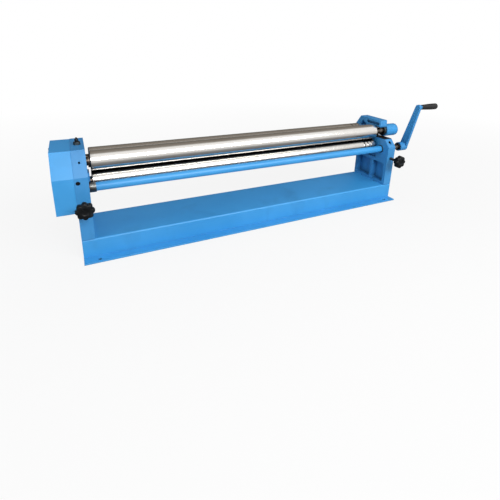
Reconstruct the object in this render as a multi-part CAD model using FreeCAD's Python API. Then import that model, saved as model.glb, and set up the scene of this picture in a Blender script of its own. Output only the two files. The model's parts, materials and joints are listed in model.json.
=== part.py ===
import FreeCAD, Part
import math
import os

# Slip roll machine. X runs along the rolls, Y points to the back, Z points up.
# The origin is the centre of the base's underside. All sizes are in millimetres.

# Rolls
roll_length = 1250.0
roll_diameter = 70.0
roll_gap = 0.4
roll_end_gap = 12.5
roll_edge_chamfer = 2.0
shoulder_diameter = 43.0
shoulder_end_gap = 6.0
journal_diameter = 30.0
top_roll_z = 310.0
rear_roll_y = 88.0
rear_roll_z = 298.0
rear_journal_diameter = 22.0
wire_groove_radii = (3.0, 4.0, 5.0)
wire_groove_spacing = 20.0
wire_groove_margin = 24.0

# Base, a plate bent to an upturned channel with outward flanges
base_width = 207.0
base_height = 70.0
base_plate = 5.0
flange_width = 38.0
bend_radius = 6.0
mount_hole_radius = 6.5
mount_hole_end_distance = 49.0
mount_hole_edge_distance = 16.0

# End frames
frame_thickness = 42.0
frame_top_z = 367.5
frame_top_front_y = -56.0
frame_top_back_y = 101.0
left_chamfer_z = 289.0
right_chamfer_z = 253.5
right_lip_y = -72.0
right_nose_y = -35.0
nose_rounding = 8.0
nose_lower_rounding = 12.0
lobe_edge_rounding = 3.0
lobe_pocket_depth = 12.0
lobe_pocket_height = 12.0
lobe_rim = 12.0
lobe_front_wall = 10.0
lobe_pocket_back_y = 56.0
bulge_reach = 52.0
bulge_back_height = 12.0
underside_distance = 98.0
pocket_depth = 26.0
pocket_bottom_margin = 12.0
pocket_height = 90.0
pocket_side_wall = 15.5
pocket_rib_y = -9.0
pocket_rib_thickness = 14.0
pocket_corner_radius = 6.0
oil_hole_radius = 3.5
oil_hole_z = 331.0

# Drive shaft, placed by the gears' centre distance
drive_axis_z = 236.0
drive_bar_diameter = 30.0
drive_journal_diameter = 24.0
drive_collar_diameter = 36.0
drive_collar_width = 18.0

# Gears
gear_module = 2.0
roll_gear_teeth = 22
idler_gear_teeth = 30
drive_gear_teeth = 32
gear_width = 22.0
gear_standoff = 8.0
gear_seat_diameter = 20.0
pressure_angle = math.radians(20.0)
tooth_thinning = 0.2
lower_tooth_thinning = 1.0
flank_steps = 4
key_size = 6.0
key_depth = 3.0
shaft_end_margin = 8.0
clip_thickness = 2.0
clip_rim = 4.0

# Bearings
bush_wall = 4.0
running_clearance = 0.05
slide_clearance = 0.3
face_gap = 0.1

# Swivel bearing of the top roll
pivot_y = 12.0
swivel_front = 36.0
swivel_back = 20.0
swivel_top_rise = 34.0
swivel_bottom_drop = 23.0
swivel_side_clearance = 2.0
swing_angle = math.radians(13.0)
pivot_pin_radius = 5.0
pivot_thread_radius = 6.0
pivot_head_height = 13.0
pivot_nut_flats = 19.0
pivot_nut_height = 10.0

# Release sleeve at the right end of the top roll
sleeve_diameter = 58.0
sleeve_ring_diameter = 48.0
sleeve_ring_length = 12.0
sleeve_length = 72.0
sleeve_rounding = 8.0
sleeve_bore_depth = 66.0
sleeve_frame_gap = 2.5
sleeve_travel = 12.0
sleeve_screw_radius = 3.0
slot_clearance = 0.5

# Pinch adjustment of the lower roll
pinch_travel = 0.8
lower_block_width = 44.0
lower_block_top = 34.5
wedge_floor_z = 188.0
wedge_height = 21.0
wedge_inset = 10.0
left_block_projection = 6.0
wedge_length = 44.0
wedge_slope = 8.0
outer_web = 12.0
lower_journal_opening = 48.0
front_knob_z = 200.0
adjusting_screw_radius = 6.0
front_knob_distance = 34.0
screw_socket_depth = 9.0
gib_screw_radius = 4.0
gib_head_radius = 6.5
gib_screw_z = 271.5
left_gib_distance = 10.5

# Rear adjustment
lift_angle = math.radians(30.0)
lift_down = 22.0
lift_up = 20.0
rear_block_width = 47.0
rear_block_height = 52.0
rear_block_corner = 11.0
rear_knob_distance = 24.0
rear_socket_wall = 4.0

# Star knobs
knob_diameter = 58.0
knob_lobes = 8
knob_scallop_radius = 9.5
knob_thickness = 22.0
knob_hub_diameter = 30.0
knob_hub_length = 10.0
knob_rounding = 3.0

# Crank
crank_radius = 205.0
crank_lean = math.radians(14.7)
crank_arm_thickness = 12.0
crank_arm_root_width = 40.0
crank_arm_tip_width = 25.0
crank_hub_diameter = 42.0
crank_hub_length = 42.0
crank_hub_distance = 70.5
crank_shaft_overhang = 3.5
crank_spacer_length = 7.0
crank_spacer_diameter = 34.0
crank_flat_depth = 2.5
crank_set_screw_radius = 4.0
grip_diameter = 28.0
grip_length = 104.0
grip_rounding = 10.0
grip_spindle_radius = 6.0
grip_collar_radius = 10.0
grip_collar_length = 9.0

# Gear cover
cover_depth = 62.0
cover_wall = 2.0
cover_inset = 1.0
cover_bottom_z = 169.0
cover_screw_radius = 3.0
cover_screw_head_radius = 6.0
cover_screw_grip = 9.0
cover_screw_places = ((-14.0, 206.0), (84.0, 184.0), (40.0, 350.0))

# Frame bolts
frame_bolt_radius = 4.0
frame_bolt_grip = 16.0
frame_bolt_head = 5.0
frame_bolt_places = (-78.0, 0.0, 78.0)
fastener_clearance = 0.25

# Places that follow from the sizes above
frame_inner_x = roll_length / 2 + roll_end_gap
frame_outer_x = frame_inner_x + frame_thickness
frame_middle_x = (frame_inner_x + frame_outer_x) / 2
frame_front_y = -base_width / 2
frame_back_y = base_width / 2
roll_radius = roll_diameter / 2
journal_radius = journal_diameter / 2
lower_roll_z = top_roll_z - roll_diameter - roll_gap
drive_gear_radius = gear_module * drive_gear_teeth / 2
roll_gear_radius = gear_module * roll_gear_teeth / 2
idler_gear_radius = gear_module * idler_gear_teeth / 2
drive_axis_drop = lower_roll_z - drive_axis_z
drive_axis_y = -math.sqrt((drive_gear_radius + roll_gear_radius) ** 2 - drive_axis_drop ** 2)
gear_inner_x = -frame_outer_x - gear_standoff
gear_outer_x = gear_inner_x - gear_width
shaft_left_end_x = gear_outer_x - shaft_end_margin
crank_hub_inner_x = frame_outer_x + crank_hub_distance
crank_hub_outer_x = crank_hub_inner_x + crank_hub_length
shaft_right_end_x = crank_hub_outer_x + crank_shaft_overhang
left_gib_x = left_gib_distance - frame_outer_x
lift_direction = FreeCAD.Vector(0, -math.sin(lift_angle), math.cos(lift_angle))
across_lift = FreeCAD.Vector(0, math.cos(lift_angle), math.sin(lift_angle))
rear_axis = FreeCAD.Vector(0, rear_roll_y, rear_roll_z)
along_x = FreeCAD.Vector(1, 0, 0)
towards_back = FreeCAD.Vector(0, 1, 0)
upwards = FreeCAD.Vector(0, 0, 1)
slot_half_height = shoulder_diameter / 2 + slot_clearance


def box(x0, x1, y0, y1, z0, z1):
    corner = FreeCAD.Vector(min(x0, x1), min(y0, y1), min(z0, z1))
    return Part.makeBox(abs(x1 - x0), abs(y1 - y0), abs(z1 - z0), corner)


def rod_x(radius, x0, x1, y, z):
    """Cylinder along X between two ends."""
    start = FreeCAD.Vector(min(x0, x1), y, z)
    return Part.makeCylinder(radius, abs(x1 - x0), start, along_x)


def rod_y(radius, y0, y1, x, z):
    """Cylinder along Y between two ends."""
    start = FreeCAD.Vector(x, min(y0, y1), z)
    return Part.makeCylinder(radius, abs(y1 - y0), start, towards_back)


def rod_z(radius, z0, z1, x, y):
    """Cylinder along Z between two ends."""
    start = FreeCAD.Vector(x, y, min(z0, z1))
    return Part.makeCylinder(radius, abs(z1 - z0), start, upwards)


def ring_x(outer_radius, inner_radius, x0, x1, y, z):
    """Tube along X."""
    hole = rod_x(inner_radius, min(x0, x1) - 1, max(x0, x1) + 1, y, z)
    return rod_x(outer_radius, x0, x1, y, z).cut(hole)


def prism_x(points, x0, x1):
    """Solid with the outline (y, z) between two X planes."""
    low = min(x0, x1)
    corners = [FreeCAD.Vector(low, y, z) for y, z in points]
    face = Part.Face(Part.makePolygon(corners + corners[:1]))
    return face.extrude(along_x * abs(x1 - x0))


def turned(outline, start, direction):
    """Solid of revolution from (distance along the axis, radius) corners."""
    corners = [FreeCAD.Vector(radius, 0, along) for along, radius in outline]
    face = Part.Face(Part.makePolygon(corners + corners[:1]))
    solid = face.revolve(FreeCAD.Vector(0, 0, 0), upwards, 360)
    solid.Placement = FreeCAD.Placement(start, FreeCAD.Rotation(upwards, direction))
    return solid


def hexagon_prism(flats, height, start, direction):
    """Hexagonal solid of a nut or a bolt head."""
    corner_radius = flats / math.sqrt(3)
    corners = []
    for i in range(6):
        angle = math.radians(60 * i)
        corners.append(FreeCAD.Vector(corner_radius * math.cos(angle), corner_radius * math.sin(angle), 0))
    face = Part.Face(Part.makePolygon(corners + corners[:1]))
    solid = face.extrude(upwards * height)
    solid.Placement = FreeCAD.Placement(start, FreeCAD.Rotation(upwards, direction))
    return solid


def lift_point(x, along, across=0.0):
    """Point given from the rear roll's axis, along and across its travel."""
    return FreeCAD.Vector(x, 0, 0) + rear_axis + lift_direction * along + across_lift * across


def lift_outline(points):
    """(along, across) corners as (y, z) corners."""
    places = [lift_point(0, along, across) for along, across in points]
    return [(place.y, place.z) for place in places]


def edges_where(shape, test):
    return [edge for edge in shape.Edges if test(edge)]


def parallel_to(edge, direction):
    if not isinstance(edge.Curve, Part.Line):
        return False
    return abs(abs(edge.tangentAt(edge.FirstParameter).dot(direction)) - 1) < 1e-6


# Base


def base_outline():
    """Outline of the bent plate, from the front flange over the top to the back flange."""
    half = base_width / 2
    foot = half + flange_width
    inner = half - base_plate
    return [
        (-foot, 0), (-foot, base_plate), (-half, base_plate), (-half, base_height),
        (half, base_height), (half, base_plate), (foot, base_plate), (foot, 0),
        (inner, 0), (inner, base_height - base_plate),
        (-inner, base_height - base_plate), (-inner, 0),
    ]


def make_base_channel():
    channel = prism_x(base_outline(), -frame_outer_x, frame_outer_x)
    outer_bends = edges_where(channel, is_outer_top_bend)
    channel = channel.makeFillet(bend_radius, outer_bends)
    hole_x = frame_outer_x - mount_hole_end_distance
    hole_y = base_width / 2 + flange_width - mount_hole_edge_distance
    for side_x in (-hole_x, hole_x):
        for side_y in (-hole_y, hole_y):
            channel = channel.cut(rod_z(mount_hole_radius, -1, base_plate + 1, side_x, side_y))
    for side in (-1, 1):
        for y in frame_bolt_places:
            hole_radius = frame_bolt_radius + fastener_clearance
            low = base_height - base_plate - 1
            channel = channel.cut(rod_z(hole_radius, low, base_height + 1, side * frame_bolt_x(), y))
    return channel


def is_outer_top_bend(edge):
    middle = edge.CenterOfMass
    on_side = abs(abs(middle.y) - base_width / 2) < 1e-6
    return parallel_to(edge, along_x) and on_side and abs(middle.z - base_height) < 1e-6


def frame_bolt_x():
    """The bolts stand in the frame's outer plate, beside the pockets."""
    return frame_inner_x + (pocket_depth + frame_thickness) / 2


def make_frame_bolts():
    bolts = []
    head_bottom = base_height - base_plate - frame_bolt_head
    for side in (-1, 1):
        for y in frame_bolt_places:
            x = side * frame_bolt_x()
            shank_top = base_height + frame_bolt_grip
            shank = rod_z(frame_bolt_radius, head_bottom, shank_top, x, y)
            start = FreeCAD.Vector(x, y, head_bottom)
            head = hexagon_prism(frame_bolt_radius * 3.2, frame_bolt_head, start, upwards)
            bolts.append(head.fuse(shank).removeSplitter())
    return Part.makeCompound(bolts)


# End frames


def back_outline():
    """Corners from the back of the top, round the bulge and down to the base."""
    corner = lift_outline([(-underside_distance, bulge_reach)])[0]
    slope = math.tan(lift_angle)
    foot_z = corner[1] - (corner[0] - frame_back_y) * slope
    return [
        (frame_top_back_y, frame_top_z),
        (corner[0], corner[1] + bulge_back_height),
        corner,
        (frame_back_y, foot_z),
        (frame_back_y, base_height),
    ]


def left_outline():
    front = [(frame_front_y, base_height), (frame_front_y, left_chamfer_z), (frame_top_front_y, frame_top_z)]
    return front + back_outline()


def right_outline():
    front = [
        (frame_front_y, base_height), (frame_front_y, right_chamfer_z),
        (right_lip_y, top_roll_z - slot_half_height),
        (0, top_roll_z - slot_half_height), (0, top_roll_z + slot_half_height),
        (right_nose_y - 4, top_roll_z + slot_half_height), (right_nose_y, frame_top_z),
    ]
    return front + back_outline()


def add_pockets(frame, side):
    """Two casting pockets in the inner side with a rib between them."""
    bottom = base_height + pocket_bottom_margin
    top = bottom + pocket_height
    inner = side * (frame_inner_x - 1)
    floor = side * (frame_inner_x + pocket_depth)
    rib_front = pocket_rib_y - pocket_rib_thickness / 2
    rib_back = pocket_rib_y + pocket_rib_thickness / 2
    spans = ((frame_front_y + pocket_side_wall, rib_front), (rib_back, frame_back_y - pocket_side_wall))
    for front, back in spans:
        pocket = box(inner, floor, front, back, bottom, top)
        corners = edges_where(pocket, lambda edge: parallel_to(edge, along_x))
        frame = frame.cut(pocket.makeFillet(pocket_corner_radius, corners))
    return frame


def lower_window(side):
    """Window for the lower bearing block and, below it, the wedge."""
    inner = side * (frame_inner_x - 1)
    web = side * (frame_outer_x - outer_web)
    half = lower_block_width / 2 + slide_clearance
    top = lower_roll_z + lower_block_top + slide_clearance
    chamber_top = wedge_floor_z + wedge_height + wedge_length / wedge_slope / 2 + slide_clearance
    front = -wedge_length / 2 - pinch_travel * wedge_slope - 1
    back = wedge_length / 2 + 1
    window = box(inner, web, -half, half, wedge_floor_z, top)
    window = window.fuse(box(inner, web, front, back, wedge_floor_z, chamber_top))
    opening = rod_x(lower_journal_opening / 2, web - side, side * (frame_outer_x + 1), 0, lower_roll_z)
    return window.fuse(opening)


def rear_window(side):
    """Slanted window in which the rear bearing block travels."""
    half = rear_block_width / 2 + slide_clearance
    low = -rear_block_height / 2 - lift_down - slide_clearance
    high = rear_block_height / 2 + lift_up + slide_clearance
    outline = lift_outline([(low, -half), (low, half), (high, half), (high, -half)])
    return prism_x(outline, side * (frame_inner_x - 1), side * (frame_outer_x + 1))


def rear_screw_hole(side):
    start = lift_point(side * frame_middle_x, -underside_distance - 1)
    length = underside_distance - lift_down
    return Part.makeCylinder(adjusting_screw_radius + running_clearance, length, start, lift_direction)


def front_screw_hole(side):
    radius = adjusting_screw_radius + running_clearance
    return rod_y(radius, frame_front_y - 1, -wedge_length / 2, side * frame_middle_x, front_knob_z)


def drive_bush_outer_radius():
    return drive_journal_diameter / 2 + bush_wall


def frame_bolt_holes(side):
    holes = []
    for y in frame_bolt_places:
        top = base_height + frame_bolt_grip + 2
        holes.append(rod_z(frame_bolt_radius, base_height - 1, top, side * frame_bolt_x(), y))
    return holes


def common_cuts(frame, side):
    """Everything that the two frames share."""
    frame = add_pockets(frame, side)
    frame = frame.cut(lower_window(side))
    frame = frame.cut(rear_window(side))
    frame = frame.cut(rear_screw_hole(side))
    frame = frame.cut(front_screw_hole(side))
    bush_radius = drive_bush_outer_radius()
    frame = frame.cut(rod_x(bush_radius, side * (frame_inner_x - 1), side * (frame_outer_x + 1),
                            drive_axis_y, drive_axis_z))
    for hole in frame_bolt_holes(side):
        frame = frame.cut(hole)
    return frame


def swivel_window():
    """Window in which the swivel bearing turns by the swing angle."""
    half = frame_thickness / 2 - swivel_side_clearance / 2
    sine = math.sin(swing_angle)
    cosine = math.cos(swing_angle)
    front = pivot_y - half * sine - swivel_front * cosine - slide_clearance
    front = min(front, pivot_y - swivel_front - slide_clearance)
    back = pivot_y + half * sine + swivel_back * cosine + slide_clearance
    low = top_roll_z - swivel_bottom_drop - face_gap
    high = top_roll_z + swivel_top_rise + slide_clearance
    return box(-frame_inner_x + 1, -frame_outer_x - 1, front, back, low, high)


def make_left_frame():
    frame = prism_x(left_outline(), -frame_outer_x, -frame_inner_x)
    frame = common_cuts(frame, -1)
    frame = frame.cut(swivel_window())
    frame = frame.cut(rod_z(pivot_thread_radius, top_roll_z, frame_top_z + 1, -frame_middle_x, pivot_y))
    frame = frame.cut(rod_y(oil_hole_radius, frame_front_y - 1, 0, -frame_middle_x, oil_hole_z))
    frame = frame.cut(gib_hole(left_gib_x, frame_front_y))
    y, z = idler_centre()
    stud_end = -frame_outer_x + idler_stud_depth()
    frame = frame.cut(rod_x(idler_stud_radius(), -frame_outer_x - 1, stud_end, y, z))
    for y, z in cover_screw_places:
        end = -frame_outer_x + cover_screw_grip + 2
        frame = frame.cut(rod_x(cover_screw_radius + running_clearance, -frame_outer_x - 1, end, y, z))
    return frame


def is_nose_edge(edge):
    """Upright edges at the front of the lobe over the slot."""
    middle = edge.CenterOfMass
    above_slot = middle.z > top_roll_z + slot_half_height + 1 and middle.z < frame_top_z - 1
    at_side = min(abs(middle.x - frame_inner_x), abs(middle.x - frame_outer_x)) < 1e-6
    return above_slot and at_side and abs(middle.y - right_nose_y) < 5


def is_nose_lower_edge(edge):
    """The edge between the front of the lobe and the slot's roof."""
    middle = edge.CenterOfMass
    at_roof = abs(middle.z - top_roll_z - slot_half_height) < 1e-6
    return parallel_to(edge, along_x) and at_roof and middle.y < right_nose_y / 2


def is_lobe_top_edge(edge):
    """Edges of the top face, all round."""
    return edge.BoundBox.ZMin > frame_top_z - 1e-4


def lobe_pocket():
    """Casting pocket under the rim of the lobe, on the inner side."""
    top = frame_top_z - lobe_rim
    pocket = box(frame_inner_x - 1, frame_inner_x + lobe_pocket_depth, right_nose_y + lobe_front_wall,
                 lobe_pocket_back_y, top - lobe_pocket_height, top)
    corners = edges_where(pocket, lambda edge: parallel_to(edge, along_x))
    return pocket.makeFillet(lobe_pocket_height / 4, corners)


def make_right_frame():
    frame = prism_x(right_outline(), frame_inner_x, frame_outer_x)
    frame = frame.makeFillet(nose_lower_rounding, edges_where(frame, is_nose_lower_edge))
    frame = frame.makeFillet(nose_rounding, edges_where(frame, is_nose_edge))
    frame = frame.makeFillet(lobe_edge_rounding, edges_where(frame, is_lobe_top_edge))
    frame = common_cuts(frame, 1).cut(lobe_pocket())
    seat = rod_x(slot_half_height, frame_inner_x - 1, frame_outer_x + 1, 0, top_roll_z)
    frame = frame.cut(seat)
    ring_seat = sleeve_ring_diameter / 2 + slide_clearance
    depth = sleeve_travel - sleeve_frame_gap + 1
    frame = frame.cut(rod_x(ring_seat, frame_outer_x - depth, frame_outer_x + 1, 0, top_roll_z))
    return frame.cut(gib_hole(frame_middle_x, right_chamfer_front_y()))


def right_chamfer_front_y():
    """Y of the right frame's chamfer at the height of the guide screw."""
    rise = top_roll_z - slot_half_height - right_chamfer_z
    share = min(max((gib_screw_z - right_chamfer_z) / rise, 0), 1)
    return frame_front_y + share * (right_lip_y - frame_front_y)


def gib_hole(x, front):
    hole = rod_y(gib_screw_radius, frame_front_y - 1, -lower_block_width / 2, x, gib_screw_z)
    head_radius = gib_head_radius + fastener_clearance
    head = rod_y(head_radius, frame_front_y - 1, gib_head_floor(front), x, gib_screw_z)
    return hole.fuse(head)


def gib_head_floor(front):
    """Bottom of the counterbore that takes the guide screw's head."""
    return front + 3 * gib_screw_radius


def make_gib_screws():
    screws = []
    for x, front in ((left_gib_x, frame_front_y), (frame_middle_x, right_chamfer_front_y())):
        floor = gib_head_floor(front)
        tip = -lower_block_width / 2 - slide_clearance
        head = rod_y(gib_head_radius, floor - 2 * gib_screw_radius, floor, x, gib_screw_z)
        screw = head.fuse(rod_y(gib_screw_radius, floor - 1, tip, x, gib_screw_z))
        start = FreeCAD.Vector(x, floor - 2 * gib_screw_radius, gib_screw_z)
        socket = hexagon_prism(gib_screw_radius * 1.5, gib_screw_radius, start, towards_back)
        screws.append(screw.cut(socket).removeSplitter())
    return Part.makeCompound(screws)


# Gears


def involute(angle):
    return math.tan(angle) - angle


def tooth_half_angle(radius, pitch_radius, teeth, thinning):
    """Half of a tooth's angular width at a radius."""
    base_radius = pitch_radius * math.cos(pressure_angle)
    at_pitch = (math.pi / teeth) / 2 - thinning / 2 / pitch_radius
    flank_angle = math.acos(min(base_radius / radius, 1))
    return at_pitch + involute(pressure_angle) - involute(flank_angle)


def gear_blank(teeth, first_tooth_angle, thinning, y, z):
    """Toothed disc about an axis along X."""
    pitch_radius = gear_module * teeth / 2
    base_radius = pitch_radius * math.cos(pressure_angle)
    tip_radius = pitch_radius + gear_module
    root_radius = pitch_radius - 1.25 * gear_module
    start_radius = max(base_radius, root_radius)
    radii = [start_radius + (tip_radius - start_radius) * i / flank_steps for i in range(flank_steps + 1)]
    points = []
    for tooth in range(teeth):
        middle = first_tooth_angle + 2 * math.pi * tooth / teeth
        foot = tooth_half_angle(start_radius, pitch_radius, teeth, thinning)
        points.append((root_radius, middle - foot))
        flank = [(radius, tooth_half_angle(radius, pitch_radius, teeth, thinning)) for radius in radii]
        points += [(radius, middle - half) for radius, half in flank]
        points += [(radius, middle + half) for radius, half in reversed(flank)]
        points.append((root_radius, middle + foot))
    outline = [(y + radius * math.cos(angle), z + radius * math.sin(angle)) for radius, angle in points]
    return prism_x(outline, gear_inner_x, gear_outer_x)


def meshing_angle(angle, teeth, centre, other_teeth, other_centre, shift=0.0):
    """Angle of a tooth of the other gear so that both gears mesh."""
    line = math.atan2(other_centre[1] - centre[1], other_centre[0] - centre[0])
    phase = (line - angle) * teeth / (2 * math.pi)
    return line + math.pi - 2 * math.pi * (0.5 - phase) / other_teeth + shift


def idler_centre():
    """Centre of the idler, in mesh with the drive gear and the top roll's gear, at the front."""
    to_top = idler_gear_radius + roll_gear_radius
    to_drive = idler_gear_radius + drive_gear_radius
    dy = drive_axis_y
    dz = drive_axis_z - top_roll_z
    distance = math.hypot(dy, dz)
    along = (to_top ** 2 - to_drive ** 2 + distance ** 2) / (2 * distance)
    across = math.sqrt(to_top ** 2 - along ** 2)
    return (along * dy / distance + across * dz / distance,
            top_roll_z + along * dz / distance - across * dy / distance)


def gear_angles():
    drive = (drive_axis_y, drive_axis_z)
    idler = idler_centre()
    drive_angle = 0.0
    idler_angle = meshing_angle(drive_angle, drive_gear_teeth, drive, idler_gear_teeth, idler)
    top_angle = meshing_angle(idler_angle, idler_gear_teeth, idler, roll_gear_teeth, (0, top_roll_z))
    free_play = (tooth_thinning + lower_tooth_thinning) / 2 - face_gap
    lower_angle = meshing_angle(drive_angle, drive_gear_teeth, drive, roll_gear_teeth, (0, lower_roll_z),
                                -free_play / roll_gear_radius)
    return drive_angle, idler_angle, top_angle, lower_angle


def key_box(y, z, clearance=0.0):
    """Parallel key standing on top of a gear's seat."""
    half = key_size / 2 + clearance
    seat_top = z + gear_seat_diameter / 2
    return box(gear_inner_x - clearance, gear_outer_x + clearance, y - half, y + half,
               seat_top - key_depth, seat_top + key_size - key_depth + clearance)


def keyed_gear(teeth, angle, thinning, y, z):
    gear = gear_blank(teeth, angle, thinning, y, z)
    gear = gear.cut(rod_x(gear_seat_diameter / 2, gear_inner_x + 1, gear_outer_x - 1, y, z))
    return gear.cut(key_box(y, z))


def make_key(y, z):
    return key_box(y, z)


def make_clip(radius, outer_x, y, z):
    """Retaining ring in a groove, its opening at the bottom."""
    ring = ring_x(radius + clip_rim, radius - 1, outer_x, outer_x - clip_thickness, y, z)
    half = radius / 3
    opening = box(outer_x + 1, outer_x - clip_thickness - 1, y - half, y + half, z - radius - 9, z)
    return ring.cut(opening)


def add_clip_groove(shaft, radius, outer_x, y, z):
    groove = ring_x(radius + 1, radius - 1, outer_x, outer_x - clip_thickness, y, z)
    return shaft.cut(groove)


def make_drive_gear():
    gear = keyed_gear(drive_gear_teeth, gear_angles()[0], tooth_thinning, drive_axis_y, drive_axis_z)
    recess = ring_x(drive_gear_radius - 3.5 * gear_module, gear_seat_diameter / 2 + 6,
                    gear_outer_x - 1, gear_outer_x + 3, drive_axis_y, drive_axis_z)
    return gear.cut(recess)


def make_idler_gear():
    y, z = idler_centre()
    gear = gear_blank(idler_gear_teeth, gear_angles()[1], tooth_thinning, y, z)
    gear = gear.cut(rod_x(idler_bush_radius(), gear_inner_x + 1, gear_outer_x - 1, y, z))
    recess = ring_x(idler_gear_radius - 3.5 * gear_module, idler_bush_radius() + 4,
                    gear_outer_x - 1, gear_outer_x + 4, y, z)
    return gear.cut(recess)


def make_top_gear():
    return keyed_gear(roll_gear_teeth, gear_angles()[2], tooth_thinning, 0, top_roll_z)


def make_lower_gear():
    return keyed_gear(roll_gear_teeth, gear_angles()[3], lower_tooth_thinning, 0, lower_roll_z)


# Idler


def idler_stud_radius():
    return gear_seat_diameter / 2 - 2


def idler_bush_radius():
    return idler_stud_radius() + running_clearance + bush_wall


def idler_stud_depth():
    return frame_thickness * 0.7


def make_idler_stud():
    y, z = idler_centre()
    radius = idler_stud_radius()
    flange_end = gear_inner_x + face_gap
    stud = rod_x(radius, -frame_outer_x + idler_stud_depth(), shaft_left_end_x, y, z)
    stud = stud.fuse(rod_x(radius + 4, -frame_outer_x, flange_end, y, z)).removeSplitter()
    return add_clip_groove(stud, radius, gear_outer_x - face_gap, y, z)


def make_idler_bush():
    y, z = idler_centre()
    inner = idler_stud_radius() + running_clearance
    return ring_x(idler_bush_radius(), inner, gear_outer_x, gear_inner_x, y, z)


def make_idler_clip():
    y, z = idler_centre()
    return make_clip(idler_stud_radius(), gear_outer_x - face_gap, y, z)


# Rolls


def bush_outer_radius():
    return journal_radius + bush_wall


def geared_end(z):
    """Journal, gear seat, clip groove and key seat at the left end of a driven roll."""
    end = rod_x(journal_radius, -roll_length / 2, gear_inner_x, 0, z)
    end = end.fuse(rod_x(gear_seat_diameter / 2, gear_inner_x, shaft_left_end_x, 0, z))
    end = add_clip_groove(end, gear_seat_diameter / 2, gear_outer_x, 0, z)
    return end.cut(key_box(0, z))


def roll_body(y, z):
    body = rod_x(roll_radius, -roll_length / 2, roll_length / 2, y, z)
    rims = edges_where(body, lambda edge: isinstance(edge.Curve, Part.Circle))
    return body.makeChamfer(roll_edge_chamfer, rims)


def cut_wire_grooves(roll, y, z):
    """Half-round grooves for bending wire and rod, at the right end."""
    for i, radius in enumerate(wire_groove_radii):
        x = roll_length / 2 - wire_groove_margin - wire_groove_spacing * i
        centre = FreeCAD.Vector(x, y, z)
        roll = roll.cut(Part.makeTorus(roll_radius, radius, centre, along_x))
    return roll


def roll_shoulder(side, z):
    """Step between the roll's body and its journal, short of the frame."""
    start = side * (roll_length / 2 - 1)
    return rod_x(shoulder_diameter / 2, start, side * (frame_inner_x - shoulder_end_gap), 0, z)


def make_top_roll():
    roll = roll_body(0, top_roll_z).fuse(geared_end(top_roll_z))
    roll = roll.fuse(roll_shoulder(-1, top_roll_z)).fuse(roll_shoulder(1, top_roll_z))
    journal_end = sleeve_inner_x() + sleeve_bore_depth - sleeve_travel - 4
    roll = roll.fuse(rod_x(journal_radius, roll_length / 2, journal_end, 0, top_roll_z))
    groove_start = sleeve_screw_x() - sleeve_travel - sleeve_screw_radius - slide_clearance
    groove_end = sleeve_screw_x() + sleeve_screw_radius + slide_clearance
    groove = ring_x(journal_radius + 1, journal_radius - 3, groove_start, groove_end, 0, top_roll_z)
    return roll.cut(groove).removeSplitter()


def make_lower_roll():
    roll = roll_body(0, lower_roll_z).fuse(geared_end(lower_roll_z)).fuse(roll_shoulder(1, lower_roll_z))
    roll = roll.fuse(rod_x(journal_radius, roll_length / 2, frame_outer_x - 2, 0, lower_roll_z))
    return cut_wire_grooves(roll, 0, lower_roll_z).removeSplitter()


def make_rear_roll():
    roll = roll_body(rear_roll_y, rear_roll_z)
    end = frame_outer_x - 1
    journals = rod_x(rear_journal_diameter / 2, -end, end, rear_roll_y, rear_roll_z)
    return cut_wire_grooves(roll.fuse(journals), rear_roll_y, rear_roll_z).removeSplitter()


# Swivel bearing of the top roll


def swivel_half_thickness():
    return frame_thickness / 2 - swivel_side_clearance / 2


def make_swivel_block():
    half = swivel_half_thickness()
    block = box(-frame_middle_x - half, -frame_middle_x + half, pivot_y - swivel_front, pivot_y + swivel_back,
                top_roll_z - swivel_bottom_drop, top_roll_z + swivel_top_rise)
    block = block.cut(rod_x(bush_outer_radius(), -frame_outer_x - 1, -frame_inner_x + 1, 0, top_roll_z))
    socket = rod_z(pivot_pin_radius + running_clearance, top_roll_z + bush_outer_radius() + 2,
                   top_roll_z + swivel_top_rise + 1, -frame_middle_x, pivot_y)
    return block.cut(socket)


def make_swivel_bush():
    half = swivel_half_thickness()
    inner = journal_radius + running_clearance
    return ring_x(bush_outer_radius(), inner, -frame_middle_x - half, -frame_middle_x + half, 0, top_roll_z)


def make_pivot_screw():
    """Screw in the frame's top whose pin carries the swivel block."""
    x = -frame_middle_x
    pin_bottom = top_roll_z + bush_outer_radius() + 2 + face_gap
    shoulder = top_roll_z + swivel_top_rise + slide_clearance + 1
    nut_top = frame_top_z + pivot_nut_height
    screw = rod_z(pivot_pin_radius, pin_bottom, shoulder, x, pivot_y)
    screw = screw.fuse(rod_z(pivot_thread_radius, shoulder, nut_top + 2, x, pivot_y))
    start = FreeCAD.Vector(x, pivot_y, nut_top + 2)
    outline = [(0, 0), (0, pivot_thread_radius), (pivot_head_height * 0.45, pivot_thread_radius),
               (pivot_head_height, pivot_thread_radius * 0.3), (pivot_head_height, 0)]
    return screw.fuse(turned(outline, start, upwards)).removeSplitter()


def make_pivot_nut():
    start = FreeCAD.Vector(-frame_middle_x, pivot_y, frame_top_z)
    nut = hexagon_prism(pivot_nut_flats, pivot_nut_height, start, upwards)
    return nut.cut(rod_z(pivot_thread_radius, frame_top_z - 1, frame_top_z + pivot_nut_height + 1,
                         -frame_middle_x, pivot_y))


# Release sleeve


def sleeve_inner_x():
    return frame_outer_x + sleeve_frame_gap


def sleeve_outer_x():
    return sleeve_inner_x() + sleeve_ring_length + sleeve_length


def sleeve_screw_x():
    return sleeve_inner_x() + sleeve_bore_depth - 2 * sleeve_travel


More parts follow.
